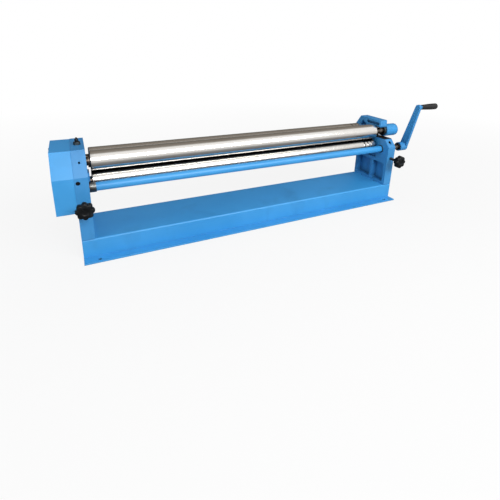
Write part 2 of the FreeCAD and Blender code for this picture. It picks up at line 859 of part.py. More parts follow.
def make_release_sleeve():
    start = sleeve_inner_x() + sleeve_ring_length
    body = rod_x(sleeve_diameter / 2, start, sleeve_outer_x(), 0, top_roll_z)
    end_rim = edges_where(body, lambda edge: edge.BoundBox.XMin > sleeve_outer_x() - 1)
    body = body.makeFillet(sleeve_rounding, [edge for edge in end_rim if isinstance(edge.Curve, Part.Circle)])
    bore_end = sleeve_inner_x() + sleeve_bore_depth
    bore = rod_x(journal_radius + running_clearance, start - 1, bore_end, 0, top_roll_z)
    screw = rod_z(sleeve_screw_radius, top_roll_z, top_roll_z + sleeve_diameter, sleeve_screw_x(), 0)
    return body.cut(bore).cut(screw)


def make_sleeve_ring():
    end = sleeve_inner_x() + sleeve_ring_length
    inner = journal_radius + running_clearance
    ring = ring_x(sleeve_ring_diameter / 2, inner, sleeve_inner_x(), end, 0, top_roll_z)
    return ring


def make_sleeve_screw():
    """Dog-point screw that keeps the sleeve on the journal."""
    low = top_roll_z + journal_radius - 3 + slide_clearance
    high = top_roll_z + sleeve_diameter / 2 - 2
    return rod_z(sleeve_screw_radius, low, high, sleeve_screw_x(), 0)


# Lower bearings and wedges


def wedge_top_z(y):
    return wedge_floor_z + wedge_height - y / wedge_slope


def lower_block_start(side):
    """Inner face of a lower block; the left one projects from its frame."""
    if side < 0:
        return -(frame_inner_x - left_block_projection)
    return frame_inner_x


def make_lower_block(side):
    half = lower_block_width / 2
    top = lower_roll_z + lower_block_top
    front_z = wedge_top_z(-half) + face_gap
    back_z = wedge_top_z(half) + face_gap
    outline = [(-half, front_z), (half, back_z), (half, top), (-half, top)]
    web = side * (frame_outer_x - outer_web - slide_clearance)
    start = lower_block_start(side)
    block = prism_x(outline, start, web)
    return block.cut(rod_x(bush_outer_radius(), start - side, web + side, 0, lower_roll_z))


def make_lower_bush(side):
    web = side * (frame_outer_x - outer_web - slide_clearance)
    inner = journal_radius + running_clearance
    return ring_x(bush_outer_radius(), inner, lower_block_start(side), web, 0, lower_roll_z)


def make_wedge(side):
    half = wedge_length / 2
    bottom = wedge_floor_z + face_gap
    outline = [(-half, bottom), (half, bottom), (half, wedge_top_z(half)), (-half, wedge_top_z(-half))]
    web = side * (frame_outer_x - outer_web - slide_clearance)
    wedge = prism_x(outline, side * (frame_inner_x + wedge_inset), web)
    socket = rod_y(adjusting_screw_radius + running_clearance, -half - 1, -half + screw_socket_depth,
                   side * frame_middle_x, front_knob_z)
    return wedge.cut(socket)


def make_front_screw(side):
    tip = -wedge_length / 2 + screw_socket_depth - face_gap
    knob_end = frame_front_y - front_knob_distance - knob_hub_length - knob_thickness / 2
    return rod_y(adjusting_screw_radius, knob_end, tip, side * frame_middle_x, front_knob_z)


def make_star_knob(start, direction):
    """Lobed knob on a round hub; start is the hub's face towards the machine."""
    radius = knob_diameter / 2
    disc = Part.makeCylinder(radius, knob_thickness, FreeCAD.Vector(0, 0, knob_hub_length))
    for i in range(knob_lobes):
        angle = 2 * math.pi * (i + 0.5) / knob_lobes
        place = FreeCAD.Vector(math.cos(angle), math.sin(angle), 0) * (radius + knob_scallop_radius * 0.45)
        disc = disc.cut(Part.makeCylinder(knob_scallop_radius, knob_hub_length + knob_thickness + 2, place))
    rims = edges_where(disc, lambda edge: edge.BoundBox.ZLength < 1e-6)
    disc = disc.makeFillet(knob_rounding, rims)
    hub = Part.makeCylinder(knob_hub_diameter / 2, knob_hub_length + 1)
    knob = hub.fuse(disc)
    blind = Part.makeCylinder(adjusting_screw_radius, knob_hub_length + knob_thickness / 2)
    knob = knob.cut(blind).removeSplitter()
    knob.Placement = FreeCAD.Placement(start, FreeCAD.Rotation(upwards, direction))
    return knob


def make_front_knob(side):
    start = FreeCAD.Vector(side * frame_middle_x, frame_front_y - front_knob_distance, front_knob_z)
    return make_star_knob(start, towards_back * -1)


# Rear bearings


def make_rear_block(side):
    half = rear_block_width / 2
    high = rear_block_height / 2
    cut = rear_block_corner
    outline = lift_outline([
        (-high, -half + cut), (-high, half - cut), (-high + cut, half), (high - cut, half),
        (high, half - cut), (high, -half + cut), (high - cut, -half), (-high + cut, -half),
    ])
    block = prism_x(outline, side * frame_inner_x, side * frame_outer_x)
    block = block.cut(rod_x(rear_bush_radius(), side * (frame_inner_x - 1), side * (frame_outer_x + 1),
                            rear_roll_y, rear_roll_z))
    socket = Part.makeCylinder(adjusting_screw_radius + running_clearance, rear_socket_depth() + 1,
                               lift_point(side * frame_middle_x, -high - 1), lift_direction)
    return block.cut(socket)


def rear_bush_radius():
    return rear_journal_diameter / 2 + bush_wall


def rear_socket_depth():
    return min(screw_socket_depth, rear_block_height / 2 - rear_bush_radius() - rear_socket_wall)


def make_rear_bush(side):
    inner = rear_journal_diameter / 2 + running_clearance
    start = side * frame_inner_x
    return ring_x(rear_bush_radius(), inner, start, side * frame_outer_x, rear_roll_y, rear_roll_z)


def rear_knob_start():
    """Distance of the knob's hub face below the rear roll's axis."""
    return -underside_distance - rear_knob_distance


def make_rear_screw(side):
    top = -rear_block_height / 2 + rear_socket_depth() - face_gap
    bottom = rear_knob_start() - knob_hub_length - knob_thickness / 2
    return Part.makeCylinder(adjusting_screw_radius, top - bottom,
                             lift_point(side * frame_middle_x, bottom), lift_direction)


def make_rear_knob(side):
    return make_star_knob(lift_point(side * frame_middle_x, rear_knob_start()), lift_direction * -1)


# Drive shaft and crank


def drive_bush_flange():
    return 3.0


def make_drive_bush(side):
    bore = drive_journal_diameter / 2 + running_clearance
    inner = side * frame_inner_x
    flange_face = side * (frame_inner_x - drive_bush_flange())
    bush = rod_x(drive_bush_outer_radius(), inner, side * frame_outer_x, drive_axis_y, drive_axis_z)
    bush = bush.fuse(rod_x(drive_bush_outer_radius() + 2, flange_face, inner, drive_axis_y, drive_axis_z))
    bush = bush.cut(rod_x(bore, flange_face - side, side * (frame_outer_x + 1), drive_axis_y, drive_axis_z))
    return bush.removeSplitter()


def drive_bar_end():
    return frame_inner_x - drive_bush_flange() - slide_clearance


def make_drive_shaft():
    y = drive_axis_y
    z = drive_axis_z
    shaft = rod_x(drive_bar_diameter / 2, -drive_bar_end(), drive_bar_end(), y, z)
    seat_end = shaft_left_end_x - drive_nut_height()
    shaft = shaft.fuse(rod_x(drive_journal_diameter / 2, gear_inner_x, shaft_right_end_x, y, z))
    shaft = shaft.fuse(rod_x(gear_seat_diameter / 2, gear_inner_x, seat_end, y, z))
    shaft = shaft.cut(key_box(y, z))
    flat_x = crank_hub_inner_x - 1
    flat_z = z + drive_journal_diameter / 2 - crank_flat_depth
    flat = box(flat_x, shaft_right_end_x + 1, y - 20, y + 20, flat_z, flat_z + 20)
    return shaft.cut(flat).removeSplitter()


def drive_nut_height():
    return 4.0


def make_drive_collar():
    inner = -drive_bar_end()
    return ring_x(drive_collar_diameter / 2, drive_bar_diameter / 2, inner, inner + drive_collar_width,
                  drive_axis_y, drive_axis_z)


def make_drive_washer():
    return ring_x(gear_seat_diameter / 2 + 7, gear_seat_diameter / 2, gear_outer_x - 2, gear_outer_x,
                  drive_axis_y, drive_axis_z)


def make_drive_nut():
    start = FreeCAD.Vector(gear_outer_x - 2, drive_axis_y, drive_axis_z)
    nut = hexagon_prism(gear_seat_diameter * 1.5, shaft_end_margin, start, along_x * -1)
    bore = rod_x(gear_seat_diameter / 2, gear_outer_x - 20, gear_outer_x, drive_axis_y, drive_axis_z)
    return nut.cut(bore)


def crank_middle_x():
    return crank_hub_outer_x - crank_arm_thickness / 2


def crank_tip():
    forward = crank_radius * math.sin(crank_lean)
    upward = crank_radius * math.cos(crank_lean)
    return (drive_axis_y - forward, drive_axis_z + upward)


def crank_outline():
    """Tapered bar from the hub to the grip's eye."""
    tip_y, tip_z = crank_tip()
    across_y = math.cos(crank_lean)
    across_z = math.sin(crank_lean)
    root = crank_arm_root_width / 2
    tip = crank_arm_tip_width / 2
    return [
        (drive_axis_y - across_y * root, drive_axis_z - across_z * root),
        (drive_axis_y + across_y * root, drive_axis_z + across_z * root),
        (tip_y + across_y * tip, tip_z + across_z * tip),
        (tip_y - across_y * tip, tip_z - across_z * tip),
    ]


def make_crank_arm():
    inner = crank_middle_x() - crank_arm_thickness / 2
    outer = inner + crank_arm_thickness
    tip_y, tip_z = crank_tip()
    hub_end = crank_hub_outer_x
    arm = prism_x(crank_outline(), inner, outer)
    arm = arm.fuse(rod_x(crank_arm_tip_width / 2, inner, outer, tip_y, tip_z))
    arm = arm.fuse(rod_x(crank_hub_diameter / 2, crank_hub_inner_x, hub_end, drive_axis_y, drive_axis_z))
    bore = rod_x(drive_journal_diameter / 2, crank_hub_inner_x - 1, hub_end + 1, drive_axis_y, drive_axis_z)
    flat_z = drive_axis_z + drive_journal_diameter / 2 - crank_flat_depth
    front_y = drive_axis_y - 20
    back_y = drive_axis_y + 20
    bore = bore.cut(box(crank_hub_inner_x - 2, hub_end + 2, front_y, back_y, flat_z, flat_z + 20))
    arm = arm.cut(bore)
    arm = arm.cut(rod_x(grip_spindle_radius, inner - 1, outer + 1, tip_y, tip_z))
    screw = rod_z(crank_set_screw_radius, drive_axis_z, drive_axis_z + crank_hub_diameter,
                  crank_set_screw_x(), drive_axis_y)
    return arm.cut(screw).removeSplitter()


def crank_set_screw_x():
    return (crank_hub_inner_x + crank_middle_x() - crank_arm_thickness / 2) / 2


def make_crank_set_screw():
    low = drive_axis_z + drive_journal_diameter / 2 - crank_flat_depth
    high = drive_axis_z + crank_hub_diameter / 2 - 1
    return rod_z(crank_set_screw_radius, low, high, crank_set_screw_x(), drive_axis_y)


def make_crank_spacer():
    start = crank_hub_inner_x - crank_spacer_length
    return ring_x(crank_spacer_diameter / 2, drive_journal_diameter / 2, start, crank_hub_inner_x,
                  drive_axis_y, drive_axis_z)


def grip_start_x():
    return crank_middle_x() + crank_arm_thickness / 2 + grip_collar_length


def snap_ring_x():
    return grip_start_x() + grip_length * 0.7


def make_grip_spindle():
    tip_y, tip_z = crank_tip()
    inner = crank_middle_x() - crank_arm_thickness / 2
    collar_start = inner + crank_arm_thickness
    spindle = rod_x(grip_spindle_radius, inner, grip_start_x() + grip_length * 0.8, tip_y, tip_z)
    collar = rod_x(grip_collar_radius, collar_start, grip_start_x() - face_gap, tip_y, tip_z)
    spindle = spindle.fuse(collar).removeSplitter()
    start = snap_ring_x()
    groove = ring_x(grip_spindle_radius + 1, grip_spindle_radius - 1, start, start + 2, tip_y, tip_z)
    return spindle.cut(groove)


def make_grip_snap_ring():
    tip_y, tip_z = crank_tip()
    start = snap_ring_x()
    return ring_x(grip_spindle_radius + 1.5, grip_spindle_radius - 1, start, start + 2, tip_y, tip_z)


def make_crank_grip():
    tip_y, tip_z = crank_tip()
    end = grip_start_x() + grip_length
    grip = rod_x(grip_diameter / 2, grip_start_x(), end, tip_y, tip_z)
    rims = edges_where(grip, lambda edge: isinstance(edge.Curve, Part.Circle))
    outer_rim = [edge for edge in rims if edge.BoundBox.XMin > end - 1]
    grip = grip.makeFillet(grip_rounding, outer_rim)
    bore_end = grip_start_x() + grip_length * 0.8 + 2
    bore_radius = grip_spindle_radius + running_clearance
    grip = grip.cut(rod_x(bore_radius, grip_start_x() - 1, bore_end, tip_y, tip_z))
    ring_seat = rod_x(grip_spindle_radius + 2, snap_ring_x() - 1, snap_ring_x() + 3, tip_y, tip_z)
    return grip.cut(ring_seat)


# Gear cover


def cover_outline(inset):
    """Outline of the cover, set in by a wall's thickness where asked."""
    run = frame_top_front_y - frame_front_y
    rise = frame_top_z - left_chamfer_z
    length = math.hypot(run, rise)
    shift_bottom = inset * (length - run) / rise
    shift_top = inset * (length - rise) / run
    return [
        (frame_front_y + inset, cover_bottom_z + inset),
        (frame_front_y + inset, left_chamfer_z - shift_bottom),
        (frame_top_front_y + shift_top, frame_top_z - inset),
        (frame_top_back_y - inset, frame_top_z - inset),
        (frame_top_back_y - inset, cover_bottom_z + inset),
    ]


def make_gear_cover():
    outer_x = -frame_outer_x - cover_depth
    cover = prism_x(cover_outline(cover_inset), outer_x, -frame_outer_x)
    hollow = cover_outline(cover_inset + cover_wall)
    cover = cover.cut(prism_x(hollow, outer_x + cover_wall, -frame_outer_x + 1))
    for y, z in cover_screw_places:
        hole = rod_x(cover_screw_radius + fastener_clearance, outer_x - 1, outer_x + cover_wall + 1, y, z)
        cover = cover.cut(hole)
    return cover


def make_cover_screws():
    screws = []
    face = -frame_outer_x - cover_depth
    for y, z in cover_screw_places:
        head = rod_x(cover_screw_head_radius, face - 4, face, y, z)
        shank = rod_x(cover_screw_radius, face - 1, -frame_outer_x + cover_screw_grip, y, z)
        start = FreeCAD.Vector(face - 4, y, z)
        socket = hexagon_prism(cover_screw_radius * 1.6, 2.5, start, along_x)
        screws.append(head.fuse(shank).cut(socket).removeSplitter())
    return Part.makeCompound(screws)


def all_nodes():
    return {
        "base_channel": make_base_channel(),
        "left_frame": make_left_frame(),
        "right_frame": make_right_frame(),
        "frame_bolts": make_frame_bolts(),
        "guide_screws": make_gib_screws(),
        "pivot_screw": make_pivot_screw(),
        "pivot_nut": make_pivot_nut(),
        "swivel_block": make_swivel_block(),
        "swivel_bush": make_swivel_bush(),
        "top_roll": make_top_roll(),
        "top_gear": make_top_gear(),
        "top_gear_key": make_key(0, top_roll_z),
        "top_gear_clip": make_clip(gear_seat_diameter / 2, gear_outer_x, 0, top_roll_z),
        "release_sleeve": make_release_sleeve(),
        "sleeve_ring": make_sleeve_ring(),
        "sleeve_screw": make_sleeve_screw(),
        "lower_roll": make_lower_roll(),
        "lower_gear": make_lower_gear(),
        "lower_gear_key": make_key(0, lower_roll_z),
        "lower_gear_clip": make_clip(gear_seat_diameter / 2, gear_outer_x, 0, lower_roll_z),
        "lower_block_left": make_lower_block(-1),
        "lower_block_right": make_lower_block(1),
        "lower_bush_left": make_lower_bush(-1),
        "lower_bush_right": make_lower_bush(1),
        "wedge_left": make_wedge(-1),
        "wedge_right": make_wedge(1),
        "pinch_screw_left": make_front_screw(-1),
        "pinch_screw_right": make_front_screw(1),
        "pinch_knob_left": make_front_knob(-1),
        "pinch_knob_right": make_front_knob(1),
        "rear_roll": make_rear_roll(),
        "rear_block_left": make_rear_block(-1),
        "rear_block_right": make_rear_block(1),
        "rear_bush_left": make_rear_bush(-1),
        "rear_bush_right": make_rear_bush(1),
        "rear_screw_left": make_rear_screw(-1),
        "rear_screw_right": make_rear_screw(1),
        "rear_knob_left": make_rear_knob(-1),
        "rear_knob_right": make_rear_knob(1),
        "drive_bush_left": make_drive_bush(-1),
        "drive_bush_right": make_drive_bush(1),
        "drive_shaft": make_drive_shaft(),
        "drive_collar": make_drive_collar(),
        "drive_gear": make_drive_gear(),
        "drive_gear_key": make_key(drive_axis_y, drive_axis_z),
        "drive_washer": make_drive_washer(),
        "drive_nut": make_drive_nut(),
        "idler_stud": make_idler_stud(),
        "idler_bush": make_idler_bush(),
        "idler_gear": make_idler_gear(),
        "idler_clip": make_idler_clip(),
        "crank_spacer": make_crank_spacer(),
        "crank_arm": make_crank_arm(),
        "crank_set_screw": make_crank_set_screw(),
        "grip_spindle": make_grip_spindle(),
        "grip_snap_ring": make_grip_snap_ring(),
        "crank_grip": make_crank_grip(),
        "gear_cover": make_gear_cover(),
        "cover_screws": make_cover_screws(),
    }


os.makedirs("parts", exist_ok=True)
for name, shape in all_nodes().items():
    shape.exportStep("parts/" + name + ".step")
    print(name, shape.isValid(), len(shape.Solids), round(shape.Volume / 1000, 2))
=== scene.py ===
import json
import math
import bpy
import numpy as np
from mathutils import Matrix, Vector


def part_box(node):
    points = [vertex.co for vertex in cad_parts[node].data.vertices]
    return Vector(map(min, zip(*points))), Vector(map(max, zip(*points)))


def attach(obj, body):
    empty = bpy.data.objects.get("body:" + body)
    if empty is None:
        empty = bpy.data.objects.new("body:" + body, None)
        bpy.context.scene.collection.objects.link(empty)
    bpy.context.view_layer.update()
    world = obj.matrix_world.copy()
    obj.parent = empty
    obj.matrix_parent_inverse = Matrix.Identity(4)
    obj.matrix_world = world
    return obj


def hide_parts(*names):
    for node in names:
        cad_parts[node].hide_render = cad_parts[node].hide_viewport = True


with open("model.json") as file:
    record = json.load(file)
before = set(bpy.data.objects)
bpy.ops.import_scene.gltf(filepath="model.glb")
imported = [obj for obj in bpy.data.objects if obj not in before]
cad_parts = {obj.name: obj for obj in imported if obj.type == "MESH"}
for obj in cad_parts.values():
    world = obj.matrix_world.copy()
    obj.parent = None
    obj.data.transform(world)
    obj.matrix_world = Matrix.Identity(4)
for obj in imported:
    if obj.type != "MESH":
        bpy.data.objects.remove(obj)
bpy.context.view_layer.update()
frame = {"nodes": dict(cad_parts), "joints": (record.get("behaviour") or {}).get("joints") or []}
nodes = frame["nodes"]
joints = {joint["name"]: joint for joint in frame["joints"]}
print("frame loaded:", len(nodes), "nodes")


# shader maths: a wrapped socket whose operators add Math nodes, and the one way to add any other node

class Value:
    def __init__(self, shade, socket):
        self.shade = shade
        self.socket = socket

    def maths(self, operation, first, second):
        return self.shade.node("ShaderNodeMath", {"operation": operation}, {0: first, 1: second})

    def __add__(self, other):
        return self.maths("ADD", self, other)

    def __radd__(self, other):
        return self.maths("ADD", other, self)

    def __sub__(self, other):
        return self.maths("SUBTRACT", self, other)

    def __rsub__(self, other):
        return self.maths("SUBTRACT", other, self)

    def __mul__(self, other):
        return self.maths("MULTIPLY", self, other)

    def __rmul__(self, other):
        return self.maths("MULTIPLY", other, self)

    def __gt__(self, level):
        return self.maths("GREATER_THAN", self, level)

    def __lt__(self, level):
        return self.maths("LESS_THAN", self, level)

    def __abs__(self):
        return self.maths("ABSOLUTE", self, 0.0)

    def atLeast(self, other):
        return self.maths("MAXIMUM", self, other)

    def power(self, exponent):
        return self.maths("POWER", self, exponent)


class Shade:
    def __init__(self, tree, placeFrom):
        self.tree = tree
        self.place = self.node("ShaderNodeTexCoord", out=placeFrom)

    def node(self, kind, settings=None, sockets=None, out=0):
        made = self.tree.nodes.new(kind)
        for key, value in (settings or {}).items():
            if key == "stops":
                self.setStops(made.color_ramp, value)
            else:
                setattr(made, key, value)
        for key, value in (sockets or {}).items():
            self.feed(made.inputs[key], value)
        return Value(self, made.outputs[out])

    def feed(self, socket, value):
        if isinstance(value, Value):
            self.tree.links.new(value.socket, socket)
        else:
            socket.default_value = value

    def setStops(self, ramp, stops):
        while len(ramp.elements) < len(stops):
            ramp.elements.new(0.5)
        for element, (position, level) in zip(ramp.elements, stops):
            element.position = position
            element.color = level if isinstance(level, tuple) else (level, level, level, 1)

    def ramp(self, value, *stops):
        return self.node("ShaderNodeValToRGB", {"stops": stops}, {"Fac": value})

    def noise(self, scale, detail, stretch=(1, 1, 1)):
        place = self.node("ShaderNodeMapping", None, {"Vector": self.place, "Scale": stretch})
        return self.node("ShaderNodeTexNoise", None, {"Vector": place, "Scale": scale, "Detail": detail})

    def mixColour(self, factor, first, second):
        return self.node("ShaderNodeMix", {"data_type": "RGBA"}, {0: factor, 6: first, 7: second}, out=2)

    def rayIs(self, kind):
        return self.node("ShaderNodeLightPath", out="Is " + kind + " Ray")

    def axes(self):
        parted = self.node("ShaderNodeSeparateXYZ", None, {0: self.place}).socket.node
        return [Value(self, socket) for socket in parted.outputs]

    def inside(self, low, high):
        # 1 where the place lies between two corners
        mask = 1.0
        for value, least, most in zip(self.axes(), low, high):
            mask = mask * (value > least) * (value < most)
        return mask


# edge: how far the rounded normal leans away, and how much of an edge that makes
wear = {"edgeSamples": 4, "edge": ((0.02, 0.0), (0.2, 1.0))}


class Finish(Shade):
    def __init__(self, name):
        self.material = bpy.data.materials.new(name)
        self.material.use_nodes = True
        self.shader = self.material.node_tree.nodes["Principled BSDF"]
        super().__init__(self.material.node_tree, "Object")

    def edges(self, radius):
        # the rounded normal, and 1 on an edge, where it leans away from the flat one
        rounded = self.node("ShaderNodeBevel", {"samples": wear["edgeSamples"]}, {"Radius": radius})
        flat = self.node("ShaderNodeNewGeometry", out="Normal")
        both = {0: rounded, 1: flat}
        along = self.node("ShaderNodeVectorMath", {"operation": "DOT_PRODUCT"}, both, out="Value")
        return rounded, self.ramp(1.0 - along, *wear["edge"])

    def closedIn(self, distance, samples, ownOnly):
        # 0 in the open, 1 deep in a corner; ownOnly leaves the other pieces out
        settings = {"samples": samples, "only_local": ownOnly}
        return 1.0 - self.node("ShaderNodeAmbientOcclusion", settings, {"Distance": distance}, out="AO")

    def bump(self, height, strength, distance, normal=None):
        sockets = {"Height": height, "Strength": strength, "Distance": distance}
        if normal:
            sockets["Normal"] = normal
        return self.node("ShaderNodeBump", None, sockets)

    def set(self, **sockets):
        for key, value in sockets.items():
            self.feed(self.shader.inputs[key.replace("_", " ")], value)


# finishes: a noise is its scale, its detail and, where it isn't even, its stretch along x, y and z;
# a ramp is pairs of a reading and the level it gives

# each enamel's dark grime colour serves both its smears and the painted shade in its corners
sheetPaint = {
    "colour": (0.036, 0.288, 0.640, 1), "faded": (0.048, 0.320, 0.690, 1),
    "grimeAndShade": (0.014, 0.095, 0.235, 1), "chip": (0.030, 0.034, 0.040, 1),
    "roughness": 0.36, "specular": 0.52, "edgeRadius": 0.0014, "dirtAndCornerShade": ((0.40, 0.0), (1.0, 0.50)),
    "peelNoise": (420.0, 2.0), "peelDepth": 0.00010, "castNoise": (95.0, 6.0), "castDepth": 0.00004,
}
# the castings' enamel: a coarser cast texture and colours about a fifth darker than the sheet's
castPaint = dict(
    sheetPaint,
    colour=(0.034, 0.232, 0.530, 1), faded=(0.044, 0.262, 0.575, 1), grimeAndShade=(0.010, 0.070, 0.180, 1),
    roughness=0.40, castDepth=0.00035, edgeRadius=0.0018, dirtAndCornerShade=((0.18, 0.0), (0.80, 0.85)),
)
enamel = {
    "cloudNoise": (4.5, 4.0), "fading": ((0.36, 0.0), (0.68, 1.0)),
    "patchNoise": (17.0, 8.0), "patchFloor": 0.55, "cornerShadeReach": 0.030, "cornerShadeSamples": 6,
    "smearNoise": (9.0, 9.0, (1, 1, 0.35)), "smears": ((0.56, 0.0), (0.80, 0.28)),
    "chipNoise": (120.0, 6.0), "chips": ((0.63, 0.0), (0.68, 0.9)),
    "peelStrength": 0.22, "castStrength": 0.30,
    "roughening": {"clouds": 0.10, "dirtAndCornerShade": 0.16, "smears": 0.12, "chips": 0.2},
}


def enamelLayers(finish, facts):
    # blotchy enamel over sheet or casting: two colour clouds, painted shade in corners mixed with patchy
    # dirt, few small chips on edges
    rounded, edge = finish.edges(facts["edgeRadius"])
    clouds = finish.noise(*enamel["cloudNoise"])
    colour = finish.mixColour(finish.ramp(clouds, *enamel["fading"]), facts["colour"], facts["faded"])
    patches = enamel["patchFloor"] + finish.noise(*enamel["patchNoise"])
    # painted shade: corners that the piece closes in on itself get the dark grime colour, in noisy patches
    corners = finish.closedIn(enamel["cornerShadeReach"], enamel["cornerShadeSamples"], True)
    dirtAndCornerShade = finish.ramp(corners * patches, *facts["dirtAndCornerShade"])
    colour = finish.mixColour(dirtAndCornerShade, colour, facts["grimeAndShade"])
    smears = finish.ramp(finish.noise(*enamel["smearNoise"]), *enamel["smears"])
    colour = finish.mixColour(smears, colour, facts["grimeAndShade"])
    chips = edge * finish.ramp(finish.noise(*enamel["chipNoise"]), *enamel["chips"])
    colour = finish.mixColour(chips, colour, facts["chip"])
    share = enamel["roughening"]
    roughness = (facts["roughness"] + share["clouds"] * clouds + share["dirtAndCornerShade"] * dirtAndCornerShade
                 + share["smears"] * smears + share["chips"] * chips)
    peel = finish.noise(*facts["peelNoise"])
    cast = finish.noise(*facts["castNoise"])
    peeled = finish.bump(peel, enamel["peelStrength"], facts["peelDepth"], rounded)
    normal = finish.bump(cast, enamel["castStrength"], facts["castDepth"], peeled)
    return colour, roughness, normal


bareSlot = {
    "low": (0.637, -0.12, 0.2865), "high": (0.682, 0.024, 0.3335), "roughness": 0.42,
    "steel": (0.075, 0.052, 0.040, 1), "dark": (0.012, 0.012, 0.013, 1),
    "streakNoise": (160.0, 5.0, (0.2, 1, 1)), "streakRoughening": 0.15,
}


def makeEnamel(name, facts, bare=None):
    finish = Finish(name)
    colour, roughness, normal = enamelLayers(finish, facts)
    if bare:
        # machined surfaces that a journal runs in stay unpainted
        mask = finish.inside(bare["low"], bare["high"])
        streaks = finish.noise(*bare["streakNoise"])
        colour = finish.mixColour(mask, colour, finish.mixColour(streaks, bare["steel"], bare["dark"]))
        streaked = bare["roughness"] + bare["streakRoughening"] * streaks
        roughness = roughness * (1.0 - mask) + streaked * mask
        finish.set(Metallic=mask)
    finish.set(Base_Color=colour, Roughness=roughness, Normal=normal, Specular_IOR_Level=facts["specular"])
    return finish.material


steel = {
    "colour": (0.83, 0.81, 0.78, 1), "stain": (0.52, 0.47, 0.40, 1), "roughness": 0.13,
    "ringNoise": (900.0, 2.0, (1, 0.02, 0.02)), "ringStrength": 0.2, "ringDepth": 0.00003,
    "bandNoise": (38.0, 3.0, (1, 0.05, 0.05)), "bandStain": 0.16,
    "stainNoise": (22.0, 6.0, (0.3, 1, 1)), "stained": ((0.50, 0.0), (0.85, 0.40)),
    "nipShade": (0.012, 0.014, 0.017, 1), "nipShadeReach": 0.040, "nipShadeSamples": 8,
    "nipShaded": ((0.16, 0.0), (0.62, 0.93)),
    "journalTone": (0.105, 0.080, 0.062, 1), "journalFrom": 0.6258,
    "journalToneNoise": (120.0, 5.0, (1, 0.2, 0.2)), "journalToned": ((0.42, 0.97), (0.66, 0.72)),
    "roughening": {"rings": 0.07, "bands": 0.06, "stain": 0.10, "journal": 0.14},
}


def steelLayers(finish):
    # turned and ground bar: fine rings round its length, faint stains, painted shade near other pieces,
    # journals past the face darker and browner in patches
    rings = finish.noise(*steel["ringNoise"])
    bands = finish.noise(*steel["bandNoise"])
    stain = finish.ramp(finish.noise(*steel["stainNoise"]), *steel["stained"])
    colour = finish.mixColour(stain, steel["colour"], steel["stain"])
    colour = finish.mixColour(steel["bandStain"] * bands, colour, steel["stain"])
    # painted shade: where another piece is near, as in the nip between two rolls, the steel colour goes
    # dark
    closed = finish.closedIn(steel["nipShadeReach"], steel["nipShadeSamples"], False)
    colour = finish.mixColour(finish.ramp(closed, *steel["nipShaded"]), colour, steel["nipShade"])
    # journals past the roll faces are coloured darker and browner, in noisy patches
    journal = abs(finish.axes()[0]) > steel["journalFrom"]
    journalTone = finish.ramp(finish.noise(*steel["journalToneNoise"]), *steel["journalToned"])
    colour = finish.mixColour(journal * journalTone, colour, steel["journalTone"])
    share = steel["roughening"]
    roughness = (steel["roughness"] + share["rings"] * rings + share["bands"] * bands
                 + share["stain"] * stain + share["journal"] * journal)
    return colour, roughness, rings


def makeGroundSteel():
    finish = Finish("groundSteel")
    colour, roughness, rings = steelLayers(finish)
    normal = finish.bump(rings, steel["ringStrength"], steel["ringDepth"])
    finish.set(Base_Color=colour, Roughness=roughness, Normal=normal, Metallic=1.0)
    return finish.material


shaft = {"paintedTo": 0.6345}


def makeShaftFinish():
    # the bar is painted between the frames, its ends are bare steel
    finish = Finish("paintedShaft")
    paintColour, paintRoughness, normal = enamelLayers(finish, sheetPaint)
    steelColour, steelRoughness = steelLayers(finish)[:2]
    bare = abs(finish.axes()[0]) > shaft["paintedTo"]
    colour = finish.mixColour(bare, paintColour, steelColour)
    roughness = paintRoughness * (1.0 - bare) + steelRoughness * bare
    finish.set(Base_Color=colour, Roughness=roughness, Metallic=bare, Normal=normal,
               Specular_IOR_Level=sheetPaint["specular"])
    return finish.material


metals = {
    "gearSteel": {
        "colour": (0.23, 0.20, 0.17, 1), "dark": (0.05, 0.045, 0.04, 1), "worn": (0.55, 0.52, 0.48, 1),
        "roughness": 0.34, "patchNoise": (60.0, 6.0), "edgeRadius": 0.0005,
    },
    "blackSteel": {
        "colour": (0.034, 0.035, 0.038, 1), "dark": (0.012, 0.012, 0.013, 1), "worn": (0.26, 0.26, 0.25, 1),
        "roughness": 0.36, "patchNoise": (90.0, 6.0), "edgeRadius": 0.0004,
    },
    "brightSteel": {
        "colour": (0.20, 0.21, 0.205, 1), "dark": (0.07, 0.07, 0.065, 1), "worn": (0.55, 0.55, 0.53, 1),
        "roughness": 0.26, "patchNoise": (70.0, 6.0), "edgeRadius": 0.0005,
    },
    # bronze for the bushes, coloured dark brown
    "darkBronze": {
        "colour": (0.16, 0.105, 0.055, 1), "dark": (0.045, 0.030, 0.018, 1), "worn": (0.50, 0.36, 0.19, 1),
        "roughness": 0.32, "patchNoise": (60.0, 6.0), "edgeRadius": 0.0004,
    },
    "stampedSteel": {
        "colour": (0.115, 0.130, 0.125, 1), "dark": (0.030, 0.032, 0.032, 1), "worn": (0.42, 0.43, 0.40, 1),
        "roughness": 0.30, "patchNoise": (80.0, 6.0), "edgeRadius": 0.0006,
    },
}
machined = {
    "patches": ((0.38, 0.0), (0.68, 0.8)), "fineNoise": (700.0, 2.0), "fineStrength": 0.25,
    "fineDepth": 0.00005, "rubNoise": (130.0, 4.0), "rubbed": ((0.4, 0.0), (0.6, 0.7)),
    "roughening": {"patches": 0.12, "fine": 0.10}, "polishing": 0.10,
}


